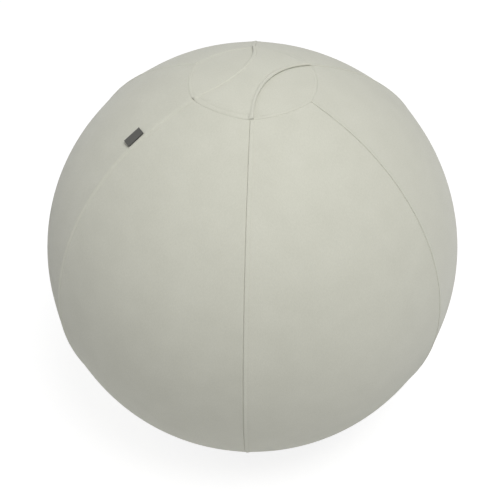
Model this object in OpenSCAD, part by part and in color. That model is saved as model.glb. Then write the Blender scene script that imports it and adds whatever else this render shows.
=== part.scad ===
// Sitting ball: an inflated ball in a sewn cloth cover, on a weighted base with a zip round its back.
// Millimetres. The origin is on the floor under the ball's centre, +Z is up, and the front seam faces -Y.

/* [Ball] */
// Diameter of the covered ball over its seams, at its widest
ball_d = 650; // [600:10:700]
// How much lower the middle of each gore lies than the seams beside it
gore_dip = 4; // [2:0.5:6]
// Thickness of the cover cloth
cloth_t = 1.5; // [1:0.1:2]
// Gap between soft pieces that lie on each other
lay_gap = 0.3; // [0.2:0.05:0.4]
// Width of the sewn-down edges inside each seam
binding_w = 12; // [8:1:14]
// Thickness of the sewn-down edges
binding_t = 1.4; // [0.8:0.1:1.6]

/* [Crown and handle] */
// Diameter of the crown panel over its corners, which lie at the gores' seams
crown_d = 190; // [170:5:220]
// How far the middle of each side of the crown lies inside the circle through its corners
crown_bow = 3.5; // [0:0.5:8]
// Width of the carrying handle at its waist
waist_w = 48; // [40:2:66]
// How far the waist's middle lies from the crown's middle, towards the front right
waist_shift = 3.3; // [0:0.3:6]
// Thickness of each of the handle's two cloth layers
strap_t = 1.2; // [0.8:0.1:1.6]
// Room under the middle of the handle when it lies at rest
handle_slack = 1.4; // [1:0.2:3.6]
// How far the handle's sewn ends stop inside the crown's seam
strap_inset = 1; // [1:0.5:4]

/* [Label] */
// Length of the folded side label along its seam
label_l = 28; // [20:1:40]
// How far the label stands out of the seam
label_w = 15; // [10:1:24]
// Thickness of the label's tape
label_t = 0.5; // [0.3:0.1:0.8]
// Angle of the label's middle from the top of the ball
label_polar = 34.3; // [30:1:50]

/* [Base] */
// Diameter of the ring where the base is zipped and sewn to the gores
base_d = 360; // [330:10:400]
// How far the base stays flat outside the grip mat
flat_rim = 5; // [2:1:12]
// Thickness of the grip mat without its studs
mat_t = 2; // [1.5:0.5:3]
// Height of the grip studs
stud_h = 1.5; // [1:0.25:2.5]
// Diameter of a stud at its root
stud_d = 7; // [5:0.5:9]
// Distance between neighbouring studs
stud_pitch = 16; // [13:1:20]

/* [Ballast] */
// Diameter of the steel ballast plate
ballast_d = 166; // [140:2:170]
// Thickness of the ballast plate
ballast_t = 5; // [3:0.5:7]
// Diameter of the hole in the middle of the ballast plate
ballast_hole_d = 30; // [20:2:50]
// Thickness of the pouch's cloth
pouch_t = 1; // [0.6:0.1:1.4]
// Width of the pouch's sewn rim
pouch_rim = 6; // [4:1:8]

/* [Inner ball] */
// Room between the cover's face and the inner ball, at the widest
inner_room = 5; // [4.5:0.25:7]
// How far the inner ball's centre lies above the cover's
inner_rise = 1; // [0.5:0.25:1.25]
// Wall of the inner ball
wall_t = 1.2; // [0.8:0.1:2]

/* [Valve] */
// Angle of the valve from the bottom of the inner ball
valve_polar = 50; // [45:1:70]
// Bore of the valve's neck
bore_d = 8; // [6:0.5:10]
// Wall of the valve's neck
neck_wall = 4; // [3:0.5:5]
// How deep the neck reaches into the ball
neck_l = 18; // [14:1:24]
// Diameter of the flange that is welded under the wall
flange_d = 28; // [26:1:34]
// Thickness of the welded flange
flange_t = 1.5; // [1:0.25:2.5]
// Length of the plug's shank
plug_l = 13; // [9:1:13]
// Thickness of the plug's head
plug_head_t = 1.2; // [0.8:0.1:1.5]
// Running clearance round the plug's shank
plug_gap = 0.08; // [0.05:0.01:0.1]

/* [Zip] */
// Angle round the base that the zip covers
zip_arc = 160; // [120:5:180]
// Width of the channel between the two folded cloth edges
channel_w = 14; // [12:1:18]
// Thickness of the zip tape
tape_t = 0.6; // [0.4:0.05:0.8]
// How far each tape reaches from the middle of the zip
tape_w = 15; // [12:1:18]
// Step from tooth to tooth along the zip
tooth_pitch = 3.2; // [2.8:0.1:4]
// How far a tooth reaches from the middle of the zip
tooth_reach = 3.2; // [2.8:0.1:3.6]
// Thickness of a tooth
tooth_t = 2.4; // [1.8:0.1:2.8]
// Gap between the two rows, where the slider's post runs
row_gap = 1; // [0.8:0.1:1.4]

/* [Sliders and pulls] */
// Length of a slider
slider_l = 13; // [11:0.5:15]
// Thickness of a slider's plates
plate_t = 1; // [0.8:0.1:1.2]
// Clearance between a slider and the teeth
slide_gap = 0.25; // [0.2:0.05:0.35]
// Thickness of a slider's side rails
rail_t = 1.2; // [1:0.1:1.6]
// Gap between the two sliders when the zip is closed
meet_gap = 2; // [1:0.5:4]
// Length of a pull tab from its bar to its tip
tab_l = 22; // [18:1:25]
// Width of a pull tab
tab_w = 7; // [6.6:0.2:8]
// Thickness of a pull tab
tab_t = 1.3; // [1:0.1:1.4]
// Diameter of the bar that a pull tab swings on
bar_d = 1.6; // [1.5:0.1:2]
// Width of the bridge that holds the bar
bridge_w = 2; // [1.6:0.1:2.2]

/* [Hidden] */
$fn = 96;

// Colours
cloth_colour = [0.80, 0.80, 0.75];
lining_colour = [0.72, 0.73, 0.67];
label_colour = [0.28, 0.28, 0.27];
base_colour = [0.30, 0.30, 0.29];
rubber_colour = [0.16, 0.16, 0.16];
steel_colour = [0.58, 0.59, 0.60];
vinyl_colour = [0.62, 0.64, 0.66];
tape_colour = [0.66, 0.67, 0.62];
teeth_colour = [0.55, 0.56, 0.52];
slider_colour = [0.45, 0.45, 0.46];

// Gores: each is turned about a level axis across its middle, with an arc flatter than the ball
gore_count = 6;
gore_turn = 360 / gore_count;
half_gore = gore_turn / 2;
first_gore = -90 + half_gore;
seam_rad = ball_d / 2;
face_r = seam_rad - gore_dip;
gore_sag = face_r - seam_rad * cos(half_gore);
gore_side = seam_rad * sin(half_gore);
gore_arc = (pow(gore_side, 2) + pow(gore_sag, 2)) / (2 * gore_sag);
gore_shift = face_r - gore_arc;
gore_reach = 1.1 * asin(gore_side / gore_arc);
gore_steps = 24;
far = 1.3 * ball_d;

// Angles from the top of the ball, seen from its centre
function arc_angle(length) = length / face_r * 180 / PI;
crown_polar = asin(crown_d / 2 / face_r);
zip_polar = 180 - asin(base_d / 2 / face_r);
gore_end = zip_polar - arc_angle(channel_w / 2);
panel_end = zip_polar + arc_angle(channel_w / 2);

// Base: the pouch's rim and the grip mat are sewn on with one row of stitches
pouch_in = ballast_d / 2 + lay_gap;
pouch_out = pouch_in + pouch_t + pouch_rim;
mat_d = 2 * pouch_out;
flat_d = mat_d + 2 * flat_rim;

// Heights above the floor
panel_z = stud_h + mat_t;
flat_drop = sqrt(pow(face_r, 2) - pow(flat_d / 2, 2));
centre_z = panel_z + flat_drop;
ballast_z = panel_z + cloth_t + lay_gap;
pouch_z = ballast_z + ballast_t + lay_gap;
inner_flat_z = pouch_z + pouch_t + lay_gap;

// Seams: radius of the sewn edge at a latitude, measured to a surface that lies inset below the face
function seam_along(lat) = sqrt(pow(cos(half_gore) * cos(lat), 2) + pow(sin(lat), 2));
function seam_across(lat) = sin(half_gore) * cos(lat);
function seam_radius(lat, inset) =
    seam_along(lat) * gore_shift
    + sqrt(pow(gore_arc - inset, 2) - pow(seam_across(lat) * gore_shift, 2));
crease = half_gore - asin(gore_side / gore_arc);
binding_drop = binding_w / 2 * tan(crease) + pow(binding_w / 2, 2) / (2 * gore_arc);
binding_inset = cloth_t + lay_gap + binding_drop;
binding_steps = 26;

// Crown: it has one side at each gore, cut by a cone that leans back and so is flatter than a round rim
rim_r = crown_d / 2;
side_polar = asin((rim_r - crown_bow) / face_r);
side_lean = atan((cos(side_polar) - cos(crown_polar))
    / (sin(side_polar) - sin(crown_polar) * cos(half_gore)));

// Handle: a dome that meets the crown at its seam and stands clear of it in the middle
strap_edge = [sin(crown_polar), cos(crown_polar)] * (face_r + lay_gap);
strap_rise = face_r + handle_slack - strap_edge[1];
strap_dome = (pow(strap_edge[0], 2) + pow(strap_rise, 2)) / (2 * strap_rise);
strap_drop = face_r + handle_slack - strap_dome;
layer_gap = 0.1;
handle_turn = -29;
edge_turn = 58;
function edge_centre(half) =
    (pow(rim_r, 2) - pow(half, 2)) / (2 * (rim_r * cos(edge_turn) - half));

// Label
label_seam = -90 - gore_turn;
label_height = 2 * label_t + layer_gap;
label_tilt = 2;

// Inner ball
inner_r = face_r - inner_room;
inner_z = centre_z + inner_rise;
inner_drop = inner_z - inner_flat_z;
valve_turn = first_gore + 2.5 * gore_turn;
neck_d = bore_d + 2 * neck_wall;
flange_sink = wall_t + lay_gap + pow(flange_d / 2, 2) / (2 * inner_r);
weld_gap = 0.1;
plug_barb = 0.5;
barb_step = 4;
barb_count = 2;

// Zip: it runs round the back, and its local frame is X along the chain, Y up the ball, Z outward
zip_middle = 90;
zip_from = zip_middle - zip_arc / 2;
zip_to = zip_middle + zip_arc / 2;
zip_tilt = 180 - zip_polar;
tape_inset = cloth_t + lay_gap + tape_t / 2;
chain_r = face_r - tape_inset;
ring_r = chain_r * sin(zip_tilt);
function turn_along(length) = length / ring_r * 180 / PI;
tape_gap = 0.05;
tape_in = tooth_reach + tape_gap;
tooth_turn = turn_along(tooth_pitch);
tooth_w = 0.5 * tooth_pitch;
stop_l = 2.4;
stop_turn = turn_along(stop_l / 2 + lay_gap);
teeth_room = zip_arc - 2 * turn_along(stop_l + lay_gap + tooth_pitch);
tooth_count = floor(teeth_room / tooth_turn);
first_tooth = zip_middle - tooth_count * tooth_turn / 2;

// Sliders: X is local to each, and the post stands at the end that faces the other slider
plate_z = tooth_t / 2 + slide_gap;
rail_in = tooth_reach + 2 * slide_gap;
rail_out = rail_in + rail_t;
slot_h = tape_t + 2 * slide_gap;
corner_r = 2;
post_gap = 0.15;
post_w = row_gap - 2 * post_gap;
post_l = 4;
post_inset = 1;
post_x = slider_l / 2 - post_l / 2 - post_inset;
rest_turn = turn_along(slider_l / 2 + meet_gap / 2);

// Bridge and pull tab
bar_gap = 0.3;
bar_z = plate_z + plate_t + bar_gap + bar_d / 2;
bridge_t = 1;
bridge_l = 8.4;
bridge_leg = 1.2;
bridge_corner = 1.5;
bridge_top = bar_z + bar_d / 2 + bar_gap + bridge_t;
bridge_foot = plate_z + plate_t;
eye_gap = 0.5;
eye_w = bridge_w + 2 * eye_gap;
eye_far = norm([bridge_l / 2, bridge_top - bar_z]) + eye_gap;
tab_hole_d = 3;
tab_hole_inset = 2;

// Places children in the frame of the covered ball's centre
module at_centre() {
    translate([0, 0, centre_z]) children();
}

// Upright cone from the ball's centre that opens by an angle from the top
module cone(angle) {
    cylinder(h = far, r1 = 0, r2 = far * tan(angle));
}

// Flat sector between two angles from the top, for turning about Z
module sector(from, to) {
    steps = 4;
    polygon(concat([[0, 0]], [
        for (i = [0:steps]) let (a = from + (to - from) * i / steps) far * [sin(a), cos(a)]
    ]));
}

// Part of a round shell about the ball's centre
module shell_zone(inner, outer, from, to, start = 0, sweep = 360) {
    rotate([0, 0, start])
        rotate_extrude(angle = sweep)
            intersection() {
                difference() {
                    circle(outer);
                    circle(inner);
                }
                sector(from, to);
            }
}

// Cone that cuts one side of the crown, moved outward by a distance along the ball
module side_cone(grow = 0) {
    rotate([0, -side_lean, 0]) cone(side_polar + side_lean + arc_angle(grow));
}

// Everything over the crown, inside its six sides
module crown_wedge(grow = 0) {
    intersection_for(i = [0:gore_count - 1])
        rotate([0, 0, first_gore + i * gore_turn])
            side_cone(grow);
}

// Solid with a flat bottom, cut from a circle, as a profile for turning
module flat_bottomed(radius, drop) {
    intersection() {
        circle(radius);
        translate([-far, -drop]) square([2 * far, far]);
    }
}

// Places children on the zip at an angle round the base
module on_zip(turn) {
    at_centre()
        rotate([0, 0, turn])
            translate([chain_r * sin(zip_tilt), 0, -chain_r * cos(zip_tilt)])
                rotate([0, 180 - zip_tilt, 0])
                    rotate([0, 0, 90])
                        children();
}

// Points along a gore's arc across, from seam to seam
function gore_across(radius) = [
    for (k = [0:gore_steps]) let (a = gore_reach * (2 * k / gore_steps - 1))
        [gore_shift + radius * cos(a), radius * sin(a)]
];

// Band of cloth that the gores are cut from, flatter across than the ball
module gore_band() {
    low = 90 - zip_tilt / 2;
    high = 90 - crown_polar / 2;
    face = gore_across(gore_arc);
    back = gore_across(gore_arc - cloth_t);
    rotate([90, 0, 0])
        rotate([0, 0, -low])
            rotate_extrude(angle = low + high)
                polygon(concat(face, [for (k = [gore_steps:-1:0]) back[k]]));
}

module gore_panel(i) {
    reach = far * tan(half_gore);
    color(cloth_colour)
        at_centre()
            rotate([0, 0, first_gore + i * gore_turn])
                difference() {
                    intersection() {
                        gore_band();
                        linear_extrude(2 * far, center = true)
                            polygon([[0, 0], [far, -reach], [far, reach]]);
                    }
                    side_cone();
                    rotate([180, 0, 0]) cone(180 - gore_end);
                }
}

// Sewn-down edges behind one seam, following the seam's own curve
module seam_binding(i) {
    top = 90 - crown_polar - arc_angle(binding_w / 2) - arc_angle(2);
    bottom = 90 - zip_polar + arc_angle(tape_w + 2);
    lats = [for (k = [0:binding_steps]) bottom + (top - bottom) * k / binding_steps];
    function at(lat, inset) = seam_radius(lat, inset) * [cos(lat), sin(lat)];
    face = [for (lat = lats) at(lat, binding_inset)];
    back = [for (k = [binding_steps:-1:0]) at(lats[k], binding_inset + binding_t)];
    color(lining_colour)
        at_centre()
            rotate([0, 0, -90 + i * gore_turn])
                rotate([90, 0, 0])
                    linear_extrude(binding_w, center = true)
                        polygon(concat(face, back));
}

module round_shell(outer, wall) {
    difference() {
        sphere(outer);
        sphere(outer - wall);
    }
}

module crown_panel() {
    color(cloth_colour)
        at_centre()
            intersection() {
                round_shell(face_r, cloth_t);
                crown_wedge();
            }
}

// Ring of sewn-down edges under the crown's seam
module crown_binding() {
    color(lining_colour)
        at_centre()
            difference() {
                intersection() {
                    round_shell(face_r - cloth_t - lay_gap, binding_t);
                    crown_wedge(binding_w / 2);
                }
                crown_wedge(-binding_w / 2);
            }
}

// One layer of the handle, as a piece of a dome: its ends follow the crown's, and its two edges are hollow
module handle_layer(inner) {
    at_centre()
        difference() {
            intersection() {
                translate([0, 0, strap_drop]) round_shell(inner + strap_t, strap_t);
                crown_wedge(-strap_inset);
            }
            for (side = [-1, 1]) {
                half = waist_w / 2 + side * waist_shift;
                rotate([0, 0, handle_turn])
                    translate([side * edge_centre(half), 0, 0])
                        cylinder(h = far, r = edge_centre(half) - half);
            }
        }
}

module handle_lining() {
    color(lining_colour) handle_layer(strap_dome);
}

module handle_strap() {
    color(cloth_colour) handle_layer(strap_dome + strap_t + layer_gap);
}

// Folded tape, sewn into the front left seam and open at the seam
module side_label() {
    fold_r = label_height / 2;
    ridge = seam_radius(90 - label_polar, 0) + lay_gap;
    color(label_colour)
        at_centre()
            rotate([0, 0, label_seam])
                rotate([0, label_polar, 0])
                    translate([0, 0, ridge])
                        rotate([label_tilt, 0, 0])
                            rotate([90, 0, -90])
                                linear_extrude(label_l, center = true)
                                    difference() {
                                        union() {
                                            square([label_w - fold_r, label_height]);
                                            translate([label_w - fold_r, fold_r]) circle(fold_r);
                                        }
                                        translate([-1, label_t])
                                            square([label_w - fold_r + 1, layer_gap]);
                                    }
}

// Dish of plain cloth: flat in the middle, and cut lower at the back, where the zip lies above its edge
module base_panel() {
    color(base_colour)
        at_centre()
            difference() {
                rotate_extrude()
                    base_profile(gore_end);
                rotate([0, 0, zip_from])
                    rotate_extrude(angle = zip_arc)
                        sector(90, panel_end);
            }
}

module base_profile(from) {
    intersection() {
        difference() {
            flat_bottomed(face_r, flat_drop);
            flat_bottomed(face_r - cloth_t, flat_drop - cloth_t);
        }
        sector(from, 180);
    }
}

// Sewn-down edges where the base meets the gores in front
module base_binding() {
    half = arc_angle(binding_w / 2);
    outer = face_r - cloth_t - lay_gap;
    side = turn_along(2);
    color(lining_colour)
        at_centre()
            shell_zone(outer - binding_t, outer, gore_end - half, gore_end + half,
                zip_to + side, 360 - zip_arc - 2 * side);
}

module stud() {
    cylinder(h = stud_h, d1 = stud_d - stud_h, d2 = stud_d);
}

// Rubber mat with studs on a triangular grid
module grip_mat() {
    rows = ceil(mat_d / stud_pitch);
    row_step = stud_pitch * sin(60);
    reach = mat_d / 2 - stud_d;
    edge = mat_t / 2;
    color(rubber_colour) {
        translate([0, 0, stud_h])
            rotate_extrude()
                polygon([
                    [0, 0], [mat_d / 2 - edge, 0], [mat_d / 2, edge], [mat_d / 2, mat_t], [0, mat_t],
                ]);
        for (row = [-rows:rows], column = [-rows:rows]) {
            place = [(column + row / 2) * stud_pitch, row * row_step, 0];
            if (norm(place) < reach)
                translate(place) stud();
        }
    }
}

// Punched steel plate with broken edges
module ballast_plate() {
    edge = ballast_t / 5;
    hole = ballast_hole_d / 2;
    rim = ballast_d / 2;
    color(steel_colour)
        translate([0, 0, ballast_z])
            rotate_extrude()
                polygon([
                    [hole + edge, 0], [rim - edge, 0], [rim, edge], [rim, ballast_t - edge],
                    [rim - edge, ballast_t], [hole + edge, ballast_t], [hole, ballast_t - edge],
                    [hole, edge],
                ]);
}

// Cloth pocket over the plate, with a rim that is sewn to the base
module ballast_pouch() {
    foot = panel_z + cloth_t + lay_gap;
    color(lining_colour)
        rotate_extrude()
            polygon([
                [0, pouch_z], [pouch_in, pouch_z], [pouch_in, foot], [pouch_out, foot],
                [pouch_out, foot + pouch_t], [pouch_in + pouch_t, foot + pouch_t],
                [pouch_in + pouch_t, pouch_z + pouch_t], [0, pouch_z + pouch_t],
            ]);
}

// Places children on the inner ball's face at its valve, with Z outward
module at_valve() {
    translate([0, 0, inner_z])
        rotate([0, 0, valve_turn])
            rotate([0, 180 - valve_polar, 0])
                translate([0, 0, inner_r])
                    children();
}

module inner_ball() {
    color(vinyl_colour)
        difference() {
            translate([0, 0, inner_z])
                rotate_extrude()
                    intersection() {
                        difference() {
                            flat_bottomed(inner_r, inner_drop);
                            flat_bottomed(inner_r - wall_t, inner_drop - wall_t);
                        }
                        translate([0, -far]) square([far, 2 * far]);
                    }
            at_valve()
                cylinder(h = 4 * wall_t, r = neck_d / 2 + weld_gap, center = true);
        }
}

// Moulded neck: a flange welded under the wall, and a tube for the plug
module valve_neck() {
    color(vinyl_colour)
        at_valve()
            difference() {
                union() {
                    translate([0, 0, -neck_l]) cylinder(h = neck_l, d = neck_d);
                    translate([0, 0, -flange_sink - flange_t]) cylinder(h = flange_t, d = flange_d);
                }
                translate([0, 0, -neck_l - 1]) cylinder(h = neck_l + 2, d = bore_d);
            }
}

// Push-in plug: a thin head, and a shank with two grooves
module valve_plug() {
    shank = bore_d / 2 - plug_gap;
    color(rubber_colour)
        at_valve()
            translate([0, 0, weld_gap])
                rotate_extrude()
                    polygon(concat(
                        [[0, plug_head_t], [neck_d / 2 - plug_head_t, plug_head_t], [neck_d / 2, 0],
                            [shank, 0]],
                        [
                            for (k = [1:barb_count], p = [
                                [shank, -k * barb_step + 1], [shank - plug_barb, -k * barb_step + 0.5],
                                [shank - plug_barb, -k * barb_step - 0.5], [shank, -k * barb_step - 1],
                            ]) p
                        ],
                        [[shank, 1 - plug_l], [shank - 1, -plug_l], [0, -plug_l]]
                    ));
}

// Tape on one side of the zip, under the cloth's folded edge
module zip_tape(side) {
    near = zip_polar - side * arc_angle(tape_in);
    away = zip_polar - side * arc_angle(tape_w);
    color(tape_colour)
        at_centre()
            shell_zone(chain_r - tape_t / 2, chain_r + tape_t / 2, min(near, away), max(near, away),
                zip_from, zip_arc);
}

// One moulded tooth: a foot on the tape, a neck and a wider head
module tooth(side) {
    head = row_gap / 2;
    foot = tooth_w / 2;
    neck = foot * 0.6;
    span = tooth_reach - head;
    outline = [
        [foot, tooth_reach], [foot, head + span * 0.6], [neck, head + span * 0.4],
        [foot * 0.9, head + span * 0.15], [neck, head],
    ];
    left = [for (k = [len(outline) - 1:-1:0]) [-outline[k][0], outline[k][1]]];
    linear_extrude(tooth_t, center = true)
        polygon([for (p = concat(outline, left)) [p[0], side * p[1]]]);
}

module zip_teeth(side) {
    color(teeth_colour)
        for (k = [0:tooth_count])
            on_zip(first_tooth + (k + side / 4) * tooth_turn) tooth(side);
}

module zip_end_stops() {
    color(slider_colour)
        for (turn = [zip_from + stop_turn, zip_to - stop_turn])
            on_zip(turn)
                cube([stop_l, 2 * tooth_reach, tooth_t], center = true);
}

// Plate of a slider, with round corners
module slider_plate() {
    linear_extrude(plate_t)
        union() {
            square([slider_l, 2 * (rail_out - corner_r)], center = true);
            square([slider_l - 2 * corner_r, 2 * rail_out], center = true);
            for (x = [-1, 1], y = [-1, 1])
                translate([x * (slider_l / 2 - corner_r), y * (rail_out - corner_r)])
                    circle(corner_r);
        }
}

// Arch that the pull's bar hangs in, seen from the side
module bridge_profile() {
    half = bridge_l / 2;
    top = bridge_top - bridge_foot;
    difference() {
        union() {
            translate([-half, 0]) square([bridge_l, top - bridge_corner]);
            translate([-half + bridge_corner, 0]) square([bridge_l - 2 * bridge_corner, top]);
            for (x = [-1, 1])
                translate([x * (half - bridge_corner), top - bridge_corner]) circle(bridge_corner);
        }
        translate([-half + bridge_leg, -1]) square([bridge_l - 2 * bridge_leg, top - bridge_t + 1]);
    }
}

// Slider body: two plates, a post, four side rails and a bridge
module zip_slider(turn, facing) {
    rail_h = plate_z - slot_h / 2;
    color(slider_colour)
        on_zip(turn) {
            translate([0, 0, plate_z]) slider_plate();
            translate([0, 0, -plate_z - plate_t]) slider_plate();
            translate([facing * post_x, 0, 0]) cube([post_l, post_w, 2 * plate_z + plate_t], center = true);
            for (y = [-1, 1], z = [-1, 1])
                translate([0, y * (rail_in + rail_t / 2), z * (slot_h + rail_h) / 2])
                    cube([slider_l - 2 * corner_r, rail_t, rail_h], center = true);
            translate([0, 0, bridge_foot])
                rotate([90, 0, 0])
                    linear_extrude(bridge_w, center = true)
                        bridge_profile();
        }
}

// Pull tab that hangs straight out from the slider
module zip_pull(turn) {
    round_r = tab_w / 2;
    color(slider_colour)
        on_zip(turn)
            translate([0, 0, bar_z]) {
                rotate([90, 0, 0]) cylinder(h = tab_w, d = bar_d, center = true);
                rotate([90, 0, 90])
                    linear_extrude(tab_t, center = true)
                        difference() {
                            union() {
                                translate([-round_r, 0]) square([tab_w, tab_l - round_r]);
                                translate([0, tab_l - round_r]) circle(round_r);
                            }
                            translate([-eye_w / 2, -1]) square([eye_w, eye_far + 1]);
                            translate([0, tab_l - tab_hole_inset - tab_hole_d / 2])
                                circle(d = tab_hole_d);
                        }
            }
}

gore_panel(0);  // gore_panel_1
gore_panel(1);  // gore_panel_2
gore_panel(2);  // gore_panel_3
gore_panel(3);  // gore_panel_4
gore_panel(4);  // gore_panel_5
gore_panel(5);  // gore_panel_6
seam_binding(0);  // seam_binding_1
seam_binding(1);  // seam_binding_2
seam_binding(2);  // seam_binding_3
seam_binding(3);  // seam_binding_4
seam_binding(4);  // seam_binding_5
seam_binding(5);  // seam_binding_6
crown_panel();
crown_binding();
handle_strap();
handle_lining();
side_label();
base_panel();
base_binding();
grip_mat();
ballast_plate();
ballast_pouch();
inner_ball();
valve_neck();
valve_plug();
zip_tape(1);  // zip_tape_upper
zip_tape(-1);  // zip_tape_lower
zip_teeth(1);  // zip_teeth_upper
zip_teeth(-1);  // zip_teeth_lower
zip_end_stops();
zip_slider(zip_middle + rest_turn, -1);  // zip_slider_left
zip_slider(zip_middle - rest_turn, 1);  // zip_slider_right
zip_pull(zip_middle + rest_turn);  // zip_pull_left
zip_pull(zip_middle - rest_turn);  // zip_pull_right
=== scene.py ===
# %% [markdown]
# # Dressing a sitting ball
# The object is an inflated ball in a sewn cloth cover, with a handle over its crown and a zip low on its
# back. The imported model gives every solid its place, in metres, with the floor at zero. This script keeps
# those places and gives each visible piece the shape and finish of real cloth, tape, rubber or metal.

import math

import bmesh
import bpy
import numpy as np
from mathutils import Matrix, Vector, noise


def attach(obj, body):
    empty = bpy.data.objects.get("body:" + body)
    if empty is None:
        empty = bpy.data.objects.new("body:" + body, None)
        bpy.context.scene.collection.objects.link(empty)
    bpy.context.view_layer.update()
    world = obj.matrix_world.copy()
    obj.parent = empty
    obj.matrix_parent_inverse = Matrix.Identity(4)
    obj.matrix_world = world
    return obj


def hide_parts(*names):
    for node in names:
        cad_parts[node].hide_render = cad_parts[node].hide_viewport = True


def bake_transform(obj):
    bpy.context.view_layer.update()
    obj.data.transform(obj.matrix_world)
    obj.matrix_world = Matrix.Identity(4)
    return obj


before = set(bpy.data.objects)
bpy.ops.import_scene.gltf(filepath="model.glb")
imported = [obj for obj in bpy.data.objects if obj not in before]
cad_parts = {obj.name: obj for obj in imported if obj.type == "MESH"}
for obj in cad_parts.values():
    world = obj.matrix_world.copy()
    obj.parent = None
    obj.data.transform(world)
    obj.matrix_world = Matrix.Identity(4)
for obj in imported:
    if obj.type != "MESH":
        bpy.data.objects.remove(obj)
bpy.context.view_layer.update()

# %% [markdown]
# ## Sizes
# The cover follows a rule. The round ball inside pushes each of its six gores out to its own shape, and
# only near a seam does the tight cloth leave the ball and bridge to the seam's ridge. Above the ball's
# middle the ridge's height is the one that the solids were drawn with, and below it the photograph shows
# hardly any ridge, so it is eased there. The ridge's foot reaches a little further than a straight
# bridge would. The crown's ring stands up in the same way, but far less. A sewn cover is never quite
# even either: this one stands out a little further on its right shoulder, behind. The other sizes are
# those of the solids.

# %% Sizes of the cover
MM = 0.001
SEAM_R = 325 * MM
FACE_R = 321 * MM
CLOTH_T = 1.5 * MM
LAY_GAP = 0.3 * MM
GORES = 6
HALF_GORE = math.pi / GORES
FIRST_GORE = math.radians(-60)
GORE_SIDE = SEAM_R * math.sin(HALF_GORE)
GORE_SAG = FACE_R - SEAM_R * math.cos(HALF_GORE)
GORE_ARC = (GORE_SIDE**2 + GORE_SAG**2) / (2 * GORE_SAG)
GORE_SHIFT = FACE_R - GORE_ARC
PANEL_Z = 3.5 * MM
FLAT_R = 95.3 * MM
CENTRE_Z = PANEL_Z + math.sqrt(FACE_R**2 - FLAT_R**2)
CENTRE = np.array([0, 0, CENTRE_Z])
RIM_R = 95 * MM
CROWN_POLAR = math.asin(RIM_R / FACE_R)
CROWN_BOW = 3.5 * MM
ZIP_R = 180 * MM
ZIP_POLAR = math.pi - math.asin(ZIP_R / FACE_R)
CHANNEL = 14 * MM
GORE_END = ZIP_POLAR - CHANNEL / 2 / FACE_R
PANEL_END = ZIP_POLAR + CHANNEL / 2 / FACE_R
GORE_LENGTH = FACE_R * (GORE_END - CROWN_POLAR)
RIDGE_REACH = 1.25
LOW_EASE = 0.75
LOW_SPAN = math.radians(28)
RING_RISE = 1.1 * MM
RING_SPAN = 45 * MM
SHOULDER_RISE = 3.8 * MM
SHOULDER_SPAN = math.radians(18)
SHOULDER_TIGHT = 2 / SHOULDER_SPAN**2
SHOULDER_WAY = np.array([0.707, 0.460, 0.537])


def step_up(value):
    """Runs from 0 to 1 with a soft start and end."""
    part = np.clip(value, 0, 1)
    return part * part * (3 - 2 * part)


def seam_rise(latitude):
    """How far a seam stands out of the round ball at a latitude."""
    beside = np.cos(latitude) * math.sin(HALF_GORE)
    rise = np.sqrt(1 - beside**2) * GORE_SHIFT + np.sqrt(GORE_ARC**2 - (beside * GORE_SHIFT) ** 2) - FACE_R
    return rise * (1 - LOW_EASE * step_up(-latitude / LOW_SPAN))


def ring_rise(away):
    """How far the cover stands out of the round ball at a distance from the crown's seam."""
    return RING_RISE * (1 - np.minimum(away / RING_SPAN, 1)) ** 2


def shoulder_rise(latitude, turn):
    """How far the cover stands out on its right shoulder."""
    level = np.cos(latitude)
    way = np.stack([level * np.cos(turn), level * np.sin(turn), np.sin(latitude)], -1)
    return SHOULDER_RISE * np.exp((way @ SHOULDER_WAY - 1) * SHOULDER_TIGHT)


def cover_radius(latitude, across):
    """Distance of the cover's face from the ball's centre, at an angle across a gore from its middle."""
    from_seam = (HALF_GORE - np.abs(across)) * FACE_R * np.cos(latitude)
    rise = seam_rise(latitude)
    ridge = rise * (1 - np.minimum(from_seam / (np.sqrt(rise * 2 * FACE_R) * RIDGE_REACH), 1)) ** 2
    return FACE_R + ridge + ring_rise((math.pi / 2 - latitude - CROWN_POLAR) * FACE_R)


# %% [markdown]
# The crown isn't round. The gores are pulled tight, so each side of its rim is flatter than a circle
# through its corners, which lie at the seams. Each side lies on a cone that leans back from the gore.

# %% Sizes of the crown's rim
SIDE_POLAR = math.asin((RIM_R - CROWN_BOW) / FACE_R)
SIDE_LEAN = math.atan((math.cos(SIDE_POLAR) - math.cos(CROWN_POLAR))
                      / (math.sin(SIDE_POLAR) - math.sin(CROWN_POLAR) * math.cos(HALF_GORE)))


def gore_turn(number):
    """Turn of a gore's middle round the ball."""
    return FIRST_GORE + number * 2 * HALF_GORE


def gore_angle(turn):
    """Angle across a gore from its middle, at a turn round the ball."""
    return (turn - FIRST_GORE + HALF_GORE) % (2 * HALF_GORE) - HALF_GORE


def rim_polar(angle):
    """Angle of the crown's rim from the top, at an angle across a gore."""
    lean = math.sin(SIDE_LEAN) * np.cos(angle)
    reach = np.hypot(math.cos(SIDE_LEAN), lean)
    return np.arccos(math.cos(SIDE_POLAR + SIDE_LEAN) / reach) - np.arctan2(lean, math.cos(SIDE_LEAN))


print("rim at a corner %.5f and at a side %.5f" % (
    FACE_R * math.sin(rim_polar(HALF_GORE)), FACE_R * math.sin(rim_polar(0.0))))

# %% [markdown]
# ## Camera
# The photograph looks down on the ball from the front. The camera's height was worked out from where
# the crown's ring and the front seam lie on the ball's outline, and its distance from how much the ring
# shrinks towards the back. The small shift puts the ball where the photograph's frame has it.

# %% Camera
CAMERA_TURN = math.radians(2.17)
CAMERA_RISE = math.radians(40.6)
CAMERA_ROLL = math.radians(0.12)
CAMERA_AWAY = 1.852
CAMERA_LENS = 83.9
CAMERA_SHIFT = (-0.0048, -0.0064)

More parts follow.
